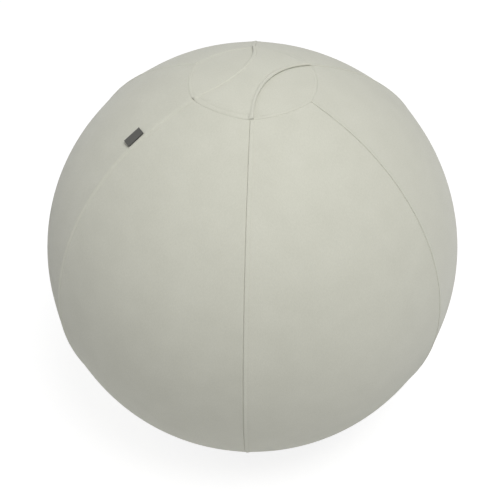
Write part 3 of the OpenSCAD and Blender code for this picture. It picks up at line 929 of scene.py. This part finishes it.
def handle_half(side):
    """Flat places, drops, raised edges, thinning and curl of one half. Side is -1 in front and 1 behind."""
    columns, inset, beside, column_drop, length, back_off, from_end, row_drop = handle_lines()
    reach = end_of(columns, inset, side)
    along = length[:, None] * reach[None] + back_off[:, None]
    across = across_handle(columns[None], inset[None], along)
    place = across[..., None] * ACROSS + side * along[..., None] * ALONG
    drop = np.minimum(column_drop[None] + row_drop[:, None], STRAP_T)
    thin, curl = end_form(across, along, side)
    raised = hem_height(np.minimum(beside[None], from_end[:, None]))
    cloth_place = np.stack([across, side * along], -1)
    return place, drop, raised * thin, thin, curl, cloth_place


span = np.linspace(0, RIM_R * math.sin(EDGE_TURN), 100)
STRAP_AREA = span[-1] * float(np.mean(hollow_edge(span, FREE_SIDE) + hollow_edge(span, FAR_SIDE)))
handle_pieces = []
for side, word in ((-1, "front"), (1, "back")):
    place, drop, raised, thin, curl, cloth_place = handle_half(side)
    uneven = UNEVEN * ripple(np.concatenate([place, 0 * place[..., :1]], -1), UNEVEN_SIZE)
    uneven = uneven * (drop == 0) * thin
    middle = STRAP_DOME + curl + thin * STRAP_T
    strap = shell(f"handle_strap_{word}",
                  on_dome(place, middle + LAYER_GAP + thin * (STRAP_T - drop) + raised + uneven),
                  on_dome(place, middle + LAYER_GAP), cloth_place, cover_cloth)
    under = shell(f"handle_lining_{word}", on_dome(place, middle),
                  on_dome(place, STRAP_DOME + curl + thin * drop), cloth_place, lining_cloth)
    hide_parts("handle_strap")
    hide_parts("handle_lining")
    handle_pieces += [(strap, side), (under, side)]
print("handle half faces:", len(handle_pieces[0][0].data.polygons))

# %% [markdown]
# ## Side label
# A short woven tape is folded once and caught in the front left seam. It is one strip that runs out, turns
# at the fold and comes back, so its face is the outside of that path and its back the inside.

# %% Side label
LABEL_L = 28 * MM
LABEL_W = 15 * MM
LABEL_T = 0.5 * MM
LABEL_POLAR = math.radians(34.3)
LABEL_TURN = math.radians(-150)
LABEL_LIFT = 0.5 * MM
LABEL_FOLD_R = 0.55 * MM
LABEL_FOLD_STEPS = 8
LABEL_STEPS = 20
LABEL_COLUMNS = 31
LABEL_CURL = 0.5 * MM


def folded_path(offset):
    """The tape's path out and back, seen from its end, moved sideways by an offset from its middle."""
    straight = LABEL_W - LABEL_FOLD_R
    out = np.linspace(0, straight, LABEL_STEPS)
    turn = np.linspace(-math.pi / 2, math.pi / 2, LABEL_FOLD_STEPS + 1)[1:-1]
    radius = LABEL_FOLD_R + offset
    reach = np.concatenate([out, straight + radius * np.cos(turn), out[::-1]])
    height = np.concatenate([np.full(LABEL_STEPS, -offset), LABEL_FOLD_R + radius * np.sin(turn),
                             np.full(LABEL_STEPS, LABEL_FOLD_R + radius)])
    return reach, height


def label_points(offset):
    """One side of the tape, in place in its seam, and each point's place on the flat tape."""
    reach, height = folded_path(offset)
    long = np.linspace(-LABEL_L / 2, LABEL_L / 2, LABEL_COLUMNS)
    long, reach_grid = np.meshgrid(long, reach, indexing="ij")
    height_grid = np.broadcast_to(height, long.shape)
    curl = LABEL_CURL * (reach_grid / LABEL_W) ** 2 * (1 + 0.6 * np.sin(long / LABEL_L * 4))
    base = cover_radius(math.pi / 2 - LABEL_POLAR, HALF_GORE) + LAY_GAP + LABEL_LIFT
    local = np.stack([long, -reach_grid, base + height_grid + LABEL_T / 2 + curl], -1)
    tip = np.array([[math.cos(LABEL_POLAR), 0, math.sin(LABEL_POLAR)], [0, 1, 0],
                    [-math.sin(LABEL_POLAR), 0, math.cos(LABEL_POLAR)]])
    spin = np.array([[math.cos(LABEL_TURN), -math.sin(LABEL_TURN), 0],
                     [math.sin(LABEL_TURN), math.cos(LABEL_TURN), 0], [0, 0, 1]])
    return CENTRE + local @ tip.T @ spin.T, np.stack([reach_grid, long], -1)


label_face, label_place = label_points(LABEL_T / 2)
label_back, _ = label_points(-LABEL_T / 2)
label = shell("side_label_tape", label_face, label_back, label_place, label_weave)
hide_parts("side_label")
print("label faces:", len(label.data.polygons))

# %% [markdown]
# ## Base panel
# Under the ball a dish of plain dark cloth carries the grip mat. It is flat where it stands on the mat
# and follows the ball outside that, and the change between the two is soft, as cloth's is. Its rim
# meets the gores in front and stops lower behind, where the zip lies above it.

# %% Base panel
ZIP_HALF = math.radians(80)
BACK = math.pi / 2
BASE_COLUMNS = 480
BASE_ROWS = 73
BASE_FINE_ROWS = 12
BASE_FINE_STEP = 0.9 * MM
BASE_STITCH = 5 * MM
BASE_BAND = 0.35 * MM
BASE_BAND_FALL = 3 * MM
BASE_BEND = 0.5 * MM
BASE_PUCKER = 0.2 * MM
BASE_PUCKER_SIZE = 15 * MM
BASE_PUCKER_SPAN = 12 * MM


def at_back(turn):
    """True where the zip is."""
    return np.abs((turn - BACK + math.pi) % (2 * math.pi) - math.pi) < ZIP_HALF


def base_radius(polar, inset):
    """Distance of the base from the ball's centre: a plane and a sphere with a soft change."""
    plane = (CENTRE_Z - PANEL_Z - inset) / -np.cos(polar)
    return FACE_R - BASE_BEND * np.log(np.exp((FACE_R - plane) / BASE_BEND) + np.exp(inset / BASE_BEND))


def base_panel():
    away, drop = fold()
    near = FOLD_R + np.arange(1, BASE_FINE_ROWS + 1) * BASE_FINE_STEP
    turn = (np.arange(BASE_COLUMNS) + 0.5) * 2 * math.pi / BASE_COLUMNS
    rim = np.where(at_back(turn), PANEL_END, GORE_END)
    share = np.linspace(0, 1, BASE_ROWS + 1)[1:]
    fixed = rim[None] + (np.concatenate([away, near]) + SEAM_GAP)[:, None] / FACE_R
    rest = fixed[-1] + share[:, None] * (math.pi - fixed[-1])
    polar = np.concatenate([fixed, rest])
    turn = np.broadcast_to(turn, polar.shape)
    drop = np.concatenate([drop, np.zeros(len(polar) - len(drop))])[:, None]
    inward = (polar - rim) * FACE_R
    fall = 1 - step_up((inward - BASE_STITCH) / BASE_BAND_FALL)
    band = BASE_BAND * (fall - wave(inward, BASE_STITCH, MM))
    level = round_points(polar, turn, base_radius(polar, 0))
    pucker = BASE_PUCKER * ripple(level, BASE_PUCKER_SIZE) * np.exp(-inward / BASE_PUCKER_SPAN)
    face = round_points(polar, turn, base_radius(polar, 0) - drop + (band + pucker) * (drop == 0))
    behind = round_points(polar, turn, base_radius(polar, CLOTH_T))
    behind = np.where(drop[..., None] >= CLOTH_T, face, behind)
    return shell("base_dish", face, behind, level[..., :2], base_cloth, ring=True)


BASE_WIDTH = 2 * (FLAT_R + FACE_R * (math.pi - math.asin(FLAT_R / FACE_R) - GORE_END))
BASE_LENGTH = BASE_WIDTH - FACE_R * (PANEL_END - GORE_END)
base = base_panel()
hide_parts("base_panel")
print("base cut to %.4f by %.4f, faces: %d" % (BASE_WIDTH, BASE_LENGTH, len(base.data.polygons)))

# %% [markdown]
# ## Zip tapes
# The two tapes lie under the folded edges and show in the channel between them, on both sides of the
# teeth. Each is a woven strip with a thicker cord along the edge that carries the teeth.

# %% Zip tapes
TAPE_T = 0.6 * MM
TAPE_NEAR = 3.25 * MM
TAPE_FAR = 15 * MM
TAPE_STEPS = 14
TAPE_COLUMNS = 420
CORD_RISE = 0.25 * MM
CORD_IN = 0.9 * MM
CORD_W = 0.6 * MM
CHAIN_R = FACE_R - CLOTH_T - LAY_GAP - TAPE_T / 2


def zip_tape(name, side):
    offset, sink = strip_across(TAPE_FAR - TAPE_NEAR, TAPE_T, TAPE_STEPS)
    turn = np.linspace(BACK - ZIP_HALF, BACK + ZIP_HALF, TAPE_COLUMNS)
    turn, offset = np.meshgrid(turn, offset, indexing="ij")
    polar = ZIP_POLAR - side * (TAPE_NEAR + offset) / FACE_R
    cord = CORD_RISE * wave(offset, CORD_IN, CORD_W)
    top = CHAIN_R + TAPE_T / 2 - sink + cord * (sink == 0)
    face = round_points(polar, turn, top)
    behind = round_points(polar, turn, np.full(polar.shape, CHAIN_R - TAPE_T / 2))
    place = np.stack([offset, turn * CHAIN_R * math.sin(ZIP_POLAR)], -1)
    return shell(name, face, behind, place, tape_weave)


for word, side in (("upper", 1), ("lower", -1)):
    tape = zip_tape(f"zip_tape_{word}_woven", side)
    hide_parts(f"zip_tape_{word}")
    2 * ZIP_HALF * CHAIN_R * math.sin(ZIP_POLAR)
    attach(tape, "ball")
print("a tape's faces:", len(tape.data.polygons))

# %% [markdown]
# ## Sliders and pulls
# The sliders and pulls are die-cast, so no edge on them is sharp. Their solids have the right shape, so a
# copy of each is merged, its flat faces are joined, and its edges get a small round that catches light.


# %% Rounded metal pieces
def eased(node, name, width):
    """A copy of a solid with rounded edges."""
    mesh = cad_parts[node].data.copy()
    mesh.name = name
    shape = bmesh.new()
    shape.from_mesh(mesh)
    bmesh.ops.remove_doubles(shape, verts=shape.verts, dist=0.002 * MM)
    bmesh.ops.dissolve_limit(shape, angle_limit=math.radians(1), verts=shape.verts, edges=shape.edges)
    shape.to_mesh(mesh)
    shape.free()
    mesh.materials.clear()
    mesh.materials.append(slider_metal)
    rough_piece = bpy.data.objects.new(name + "_start", mesh)
    bpy.context.scene.collection.objects.link(rough_piece)
    bevel = rough_piece.modifiers.new("round", "BEVEL")
    bevel.width = width
    bevel.segments = 2
    bevel.limit_method = "ANGLE"
    bevel.angle_limit = math.radians(40)
    result = rough_piece.evaluated_get(bpy.context.evaluated_depsgraph_get())
    rounded = bpy.data.meshes.new_from_object(result)
    rounded.name = name
    bpy.data.objects.remove(rough_piece)
    piece = as_piece(name, rounded, 35)
    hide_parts(node)
    return piece


for word in ("left", "right"):
    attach(eased(f"zip_slider_{word}", f"slider_{word}_cast", 0.12 * MM), f"slider_{word}")
    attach(eased(f"zip_pull_{word}", f"pull_{word}_cast", 0.2 * MM), f"pull_{word}")
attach(eased("zip_end_stops", "end_stops_cast", 0.2 * MM), "ball")

# %% [markdown]
# ## Stitches
# Rows of stitches run along every seam. A line of loose edges gives each row its path, and each of its
# points keeps the direction that faces out of the cloth. The tree below cuts the path at the stitch
# length and sets one small grain of thread at each point, along the path and flat on the cloth.


# %% The stitches' tree
def stitch_tree():
    data = bpy.data.node_groups.new("stitches", "GeometryNodeTree")
    tree = Tree(data)
    face = data.interface
    face.new_socket("Geometry", in_out="OUTPUT", socket_type="NodeSocketGeometry")
    face.new_socket("Geometry", in_out="INPUT", socket_type="NodeSocketGeometry")
    for name in ("Pitch", "Length", "Thread"):
        face.new_socket(name, in_out="INPUT", socket_type="NodeSocketFloat")
    face.new_socket("Finish", in_out="INPUT", socket_type="NodeSocketMaterial")
    given = tree.node("NodeGroupInput")
    line = tree.node("GeometryNodeMeshToCurve", inputs={"Mesh": given["Geometry"]})[0]
    cut = tree.node("GeometryNodeResampleCurve", {"mode": "LENGTH"}, {
        "Curve": line, "Length": given["Pitch"]})[0]
    outward = tree.node("GeometryNodeInputNamedAttribute", {"data_type": "FLOAT_VECTOR"}, {
        "Name": "outward"})["Attribute"]
    tangent = tree.node("GeometryNodeInputTangent")[0]
    along = tree.node("FunctionNodeAlignRotationToVector", {"axis": "Z"}, {"Vector": tangent})[0]
    facing = tree.node("FunctionNodeAlignRotationToVector", {"axis": "X", "pivot_axis": "Z"}, {
        "Rotation": along, "Vector": outward})[0]
    ball = tree.node("GeometryNodeMeshUVSphere", inputs={"Segments": 6, "Rings": 5, "Radius": 1.0})["Mesh"]
    size = tree.node("ShaderNodeCombineXYZ", inputs={
        0: given["Thread"] / 2, 1: given["Thread"] / 2, 2: given["Length"] / 2})[0]
    grain = tree.node("GeometryNodeTransform", inputs={"Geometry": ball, "Scale": size})[0]
    rows = tree.node("GeometryNodeInstanceOnPoints", inputs={
        "Points": cut, "Instance": grain, "Rotation": facing})[0]
    real = tree.node("GeometryNodeRealizeInstances", inputs={"Geometry": rows})[0]
    done = tree.node("GeometryNodeSetMaterial", inputs={"Geometry": real, "Material": given["Finish"]})[0]
    tree.node("NodeGroupOutput", inputs={"Geometry": done})
    return data


stitches = stitch_tree()


def stitched(name, lines, finish, pitch=3.2 * MM, length=2.5 * MM, width=0.5 * MM):
    """Stitches along lines. Each line is its points, its outward directions, and True if it closes."""
    points, outward, edges = [], [], []
    for place, facing, loop in lines:
        start = len(points)
        points += place.tolist()
        outward += facing.tolist()
        edges += [(start + k, start + k + 1) for k in range(len(place) - 1)]
        if loop:
            edges.append((start + len(place) - 1, start))
    mesh = bpy.data.meshes.new(name + "_path")
    mesh.from_pydata(points, edges, [])
    kept_way = mesh.attributes.new("outward", "FLOAT_VECTOR", "POINT")
    kept_way.data.foreach_set("vector", np.array(outward, np.float32).ravel())
    return plain_mesh(name, mesh, stitches, {
        "Pitch": pitch, "Length": length, "Thread": width, "Finish": finish})


# %% [markdown]
# The rows follow the same rule as the cloth under them, so their points come from the cover's own
# formula: the gore's radius, plus the raised band where the gore lies over its neighbour.


# %% Rows on the cover
THREAD_LIFT = 0.08 * MM
SEAM_POINTS = 300
RING_POINTS = 720


def band_height(from_seam):
    """How far an upper gore stands up, at a distance in from its seam."""
    fall = 1 - step_up((from_seam - BAND_TOP) / BAND_FALL)
    return BAND_RISE * fall - DENT_DEPTH * wave(from_seam, STITCH_IN, STITCH_DENT)


def cover_line(latitude, turn, lift=THREAD_LIFT):
    """Points on the cover's face, with the directions that face out of it."""
    across = gore_angle(turn)
    from_seam = (HALF_GORE - np.abs(across)) * FACE_R * np.cos(latitude)
    radius = cover_radius(latitude, across) + shoulder_rise(latitude, turn) + lift
    radius = radius + np.where(across < 0, band_height(from_seam), 0)
    place = round_points(math.pi / 2 - latitude, turn, radius)
    facing = place - CENTRE
    return place, facing / np.linalg.norm(facing, axis=-1, keepdims=True)


cover_rows = []
top_latitude = math.pi / 2 - CROWN_POLAR - 3 * MM / FACE_R
low_latitude = math.pi / 2 - GORE_END + 3 * MM / FACE_R
latitude = np.linspace(top_latitude, low_latitude, SEAM_POINTS)
across = STITCH_IN / (FACE_R * np.cos(latitude)) - HALF_GORE
for number in range(GORES):
    cover_rows.append((*cover_line(latitude, gore_turn(number) + across), False))
around = np.linspace(0, 2 * math.pi, RING_POINTS, endpoint=False)
crown_place = round_points(
    rim_polar(gore_angle(around)) - (CROWN_STITCH + SEAM_GAP) / FACE_R, around,
    np.full(RING_POINTS, FACE_R + ring_rise(CROWN_STITCH) + crown_height(CROWN_STITCH) + THREAD_LIFT))
cover_rows.append((crown_place, (crown_place - CENTRE) / FACE_R, True))
low_row = np.full(RING_POINTS, math.pi / 2 - GORE_END + STITCH_IN / FACE_R)
cover_rows.append((*cover_line(low_row, around, 0.15 * MM), True))
cover_stitches = stitched("cover_stitches", cover_rows, cover_thread)
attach(cover_stitches, "ball")
print("cover stitches' faces:", len(cover_stitches.data.polygons))


# %% Rows on the base and the mat
MAT_STITCH_R = 87.3 * MM
MAT_STITCH_Z = 1.45 * MM


def base_row(start, end, rim, count):
    """A row on the base between two turns, a stitch's distance in from its rim."""
    polar = np.full(count, rim + BASE_STITCH / FACE_R)
    place = round_points(polar, np.linspace(start, end, count), base_radius(polar, 0) + 0.1 * MM)
    return place, (place - CENTRE) / FACE_R, False


base_rows = [
    base_row(BACK - ZIP_HALF + 0.02, BACK + ZIP_HALF - 0.02, PANEL_END, 320),
    base_row(BACK + ZIP_HALF + 0.01, BACK + 2 * math.pi - ZIP_HALF - 0.01, GORE_END, 400)]
mat_ring = np.stack([MAT_STITCH_R * np.cos(around), MAT_STITCH_R * np.sin(around),
                     np.full(RING_POINTS, MAT_STITCH_Z)], -1)
base_rows.append((mat_ring, np.tile([0.0, 0.0, -1.0], (RING_POINTS, 1)), True))
base_stitches = stitched("base_stitches", base_rows, base_thread)
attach(base_stitches, "ball")
print("base stitches' faces:", len(base_stitches.data.polygons))


# %% Rows on the handle
def handle_rows(side):
    """Rows along both hollow edges and round the sewn end of one half of the handle."""
    lines = []
    for edge in (-1, 1):
        inset = -edge * HANDLE_STITCH
        reach = end_of(np.array([edge]), np.array([inset]), side)[0] - HANDLE_STITCH
        along = np.linspace(0.2 * MM, reach, 60)
        lines.append((across_handle(edge, inset, along), along))
    share = np.linspace(-1, 1, 80)
    inset = -share * HANDLE_STITCH
    along = end_of(share, inset, side) - HANDLE_STITCH
    lines.append((across_handle(share, inset, along), along))
    rows = []
    for across, along in lines:
        thin, curl = end_form(across, along, side)
        top = STRAP_DOME + curl + LAYER_GAP + THREAD_LIFT + thin * (2 * STRAP_T + hem_height(HANDLE_STITCH))
        line = across[:, None] * ACROSS + side * along[:, None] * ALONG
        rows.append((on_dome(line, top), np.tile([0.0, 0.0, 1.0], (len(line), 1)), False))
    return rows


for side, word in ((-1, "front"), (1, "back")):
    row = stitched(f"handle_stitches_{word}", handle_rows(side), cover_thread, 3.0 * MM, 2.3 * MM)
    handle_pieces.append((row, side))
print("pieces that bend with the handle:", len(handle_pieces))

for piece, side in handle_pieces:
    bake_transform(piece)

# %% [markdown]
# ## Solids that stay
# The teeth, the grip mat and the pieces inside the ball have the right shape already, so they keep their
# solids and only get their finishes. Cloth inside the cover gets cloth's colour from Object coordinates.


# %% Finishes for the solids
def plain_cloth(name, colour, shade):
    """Cloth on a solid, patterned from its place."""
    made = Finish(name, Sheen_Weight=0.1)
    x, y, z = made.object_place()
    fibre = made.grain(made.point(x * 1.2, y * 1.2, z * 1.2))
    made.colour(made.blend(fibre, colour, shade))
    made.rough(0.84 + 0.12 * fibre)
    made.relief(fibre, 0.08 * MM)
    return made.material


inside_cloth = plain_cloth("inside_cloth", tone(196, 196, 182), tone(176, 176, 162))
solid_finishes = {
    "crown_binding": inside_cloth, "base_binding": inside_cloth, "ballast_pouch": inside_cloth,
    "ballast_plate": plate_steel, "grip_mat": rubber,
    "inner_ball": vinyl, "valve_neck": vinyl, "valve_plug": plug_plastic, "zip_teeth": zip_plastic,
}
for node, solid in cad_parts.items():
    for start, finish in solid_finishes.items():
        if node.startswith(start):
            solid.material_slots[0].material = finish
print("kinds of solid that keep their shape:", len(solid_finishes))

for piece in [*gores, crown, label, base]:
    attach(piece, "ball")

# %% [markdown]
# ## Sewn-down edges
# Behind each seam the gores' two cut edges are pressed apart and sewn down. They lie against the inside
# of the cloth wherever it goes, so each strip reads the cover's radius on both sides of its seam.

# %% Strips behind the seams
BINDING_W = 12 * MM
BINDING_T = 1.4 * MM
BINDING_STEPS = 8
BINDING_ROWS = 90
BINDING_ROOM = 2 * MM
BINDING_TOP = math.pi / 2 - CROWN_POLAR - (BINDING_W / 2 + BINDING_ROOM) / FACE_R
BINDING_END = math.pi / 2 - ZIP_POLAR + (TAPE_FAR + BINDING_ROOM) / FACE_R


def seam_binding(number):
    offset, sink = strip_across(BINDING_W, BINDING_T, BINDING_STEPS)
    latitude = np.linspace(BINDING_TOP, BINDING_END, BINDING_ROWS)
    latitude, side = np.meshgrid(latitude, offset - BINDING_W / 2, indexing="ij")
    turn = gore_turn(number) - HALF_GORE + side / (FACE_R * np.cos(latitude))
    under = cover_radius(latitude, gore_angle(turn)) + shoulder_rise(latitude, turn) - CLOTH_T - LAY_GAP
    face = round_points(math.pi / 2 - latitude, turn, under - sink)
    behind = round_points(math.pi / 2 - latitude, turn, under - BINDING_T)
    place = np.stack([side, latitude * FACE_R], -1)
    return shell(f"seam_binding_{number + 1}_pressed", face, behind, place, inside_cloth)


for number in range(GORES):
    binding = seam_binding(number)
    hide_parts(f"seam_binding_{number + 1}")
    FACE_R * (BINDING_TOP - BINDING_END)
    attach(binding, "ball")
print("a binding's faces:", len(binding.data.polygons))

# %% [markdown]
# ## Floor and light
# The photograph stands the ball on white. To every other ray the floor is pale, matt card, which throws
# light back up under the ball. To the camera it is darker card with a glow of its own, so it comes out
# white and keeps a soft shadow. The world is white behind it. One broad lamp stands high in front and a
# little to the right, as the photograph's shading asks, and a weak one on the left lifts that side just
# enough for its seam to show as a pale line with a darker gore behind it.


# %% Floor
FLOOR_SIZE = 14


def floor_finish():
    material = bpy.data.materials.new("floor")
    material.use_nodes = True
    material.node_tree.nodes.clear()
    finish = Tree(material.node_tree)
    card = finish.node("ShaderNodeBsdfDiffuse", inputs={"Color": (0.88, 0.88, 0.88, 1.0)})[0]
    shaded = finish.node("ShaderNodeBsdfDiffuse", inputs={"Color": (0.30, 0.30, 0.30, 1.0)})[0]
    glow = finish.node("ShaderNodeEmission", inputs={"Strength": 0.85})[0]
    white = finish.node("ShaderNodeAddShader", inputs={0: shaded, 1: glow})[0]
    seen = finish.node("ShaderNodeLightPath")["Is Camera Ray"]
    mixed = finish.node("ShaderNodeMixShader", inputs={0: seen, 1: card, 2: white})[0]
    finish.node("ShaderNodeOutputMaterial", inputs={"Surface": mixed})
    return material


bpy.ops.mesh.primitive_plane_add(size=FLOOR_SIZE)
floor = bpy.context.object
floor.name = "floor"
floor.data.materials.append(floor_finish())
print("floor is", FLOOR_SIZE, "metres wide")


# %% World and lamps
def world_light(strength):
    """White to the camera and in reflections, and soft light of a strength on everything."""
    world = bpy.data.worlds.new("world")
    bpy.context.scene.world = world
    world.use_nodes = True
    world.node_tree.nodes.clear()
    sky = Tree(world.node_tree)
    path = sky.node("ShaderNodeLightPath")
    seen = maths("MAXIMUM", path["Is Camera Ray"], maths(
        "MAXIMUM", path["Is Glossy Ray"], path["Is Transmission Ray"]))
    level = strength + seen * (1 - strength)
    light = sky.node("ShaderNodeBackground", inputs={"Color": (1, 1, 1, 1), "Strength": level})[0]
    sky.node("ShaderNodeOutputWorld", inputs={"Surface": light})


def lamp(name, place, size, power):
    """A round lamp at a place, turned to the ball."""
    light = bpy.data.lights.new(name, "AREA")
    light.shape = "DISK"
    light.size = size
    light.energy = power
    made = bpy.data.objects.new(name, light)
    bpy.context.scene.collection.objects.link(made)
    made.location = place
    made.rotation_euler = (Vector(place) - Vector(CENTRE)).to_track_quat("Z", "Y").to_euler()


world_light(0.26)
lamp("key", (0.8, -1.15, 3.7), 2.2, 95)
lamp("fill", (-2.4, -0.3, 2.0), 1.6, 6.5)
bpy.context.scene.view_settings.view_transform = "Standard"
print("lamps:", [light.name for light in bpy.data.lights])
